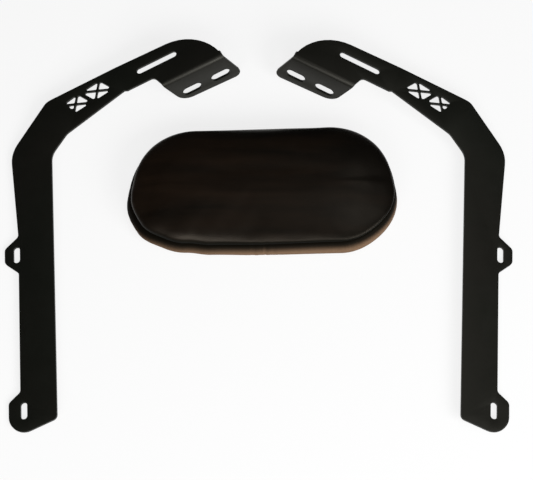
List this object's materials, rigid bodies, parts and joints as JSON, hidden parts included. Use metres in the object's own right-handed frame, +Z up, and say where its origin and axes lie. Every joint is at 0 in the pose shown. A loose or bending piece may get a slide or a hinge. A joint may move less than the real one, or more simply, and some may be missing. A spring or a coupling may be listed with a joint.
{
  "type": "motorcycle sissy bar",
  "caption": "Motorcycle sissy bar kit laid flat: two mirrored black sheet-steel side plates with bolt slots, cross cut-outs and folded flanges, and a padded backrest.",
  "frame": {"origin": "middle of the bounding box's bottom face, on the surface that the three pieces lie on", "axes": "+X towards the left-hand plate, +Y towards the plates' arms, +Z up from the surface"},
  "size_m": [0.5311, 0.4335, 0.0461],
  "materials": {
    "black_coat": "satin black powder coat on sheet steel",
    "leatherette": "smooth dark brown leatherette, satin",
    "backing": "black lining cloth",
    "foam": "moulded foam",
    "board": "plywood",
    "zinc": "zinc plated"
  },
  "bodies": {
    "root": {"right_side_plate": "black_coat", "left_side_plate": "black_coat", "pad_base_board": "board", "pad_foam": "foam", "pad_front_panel": "leatherette", "pad_side_band": "leatherette", "pad_back_cloth": "backing", "pad_insert_1": "zinc", "pad_insert_2": "zinc", "pad_insert_3": "zinc", "pad_insert_4": "zinc"}
  },
  "joints": []
}
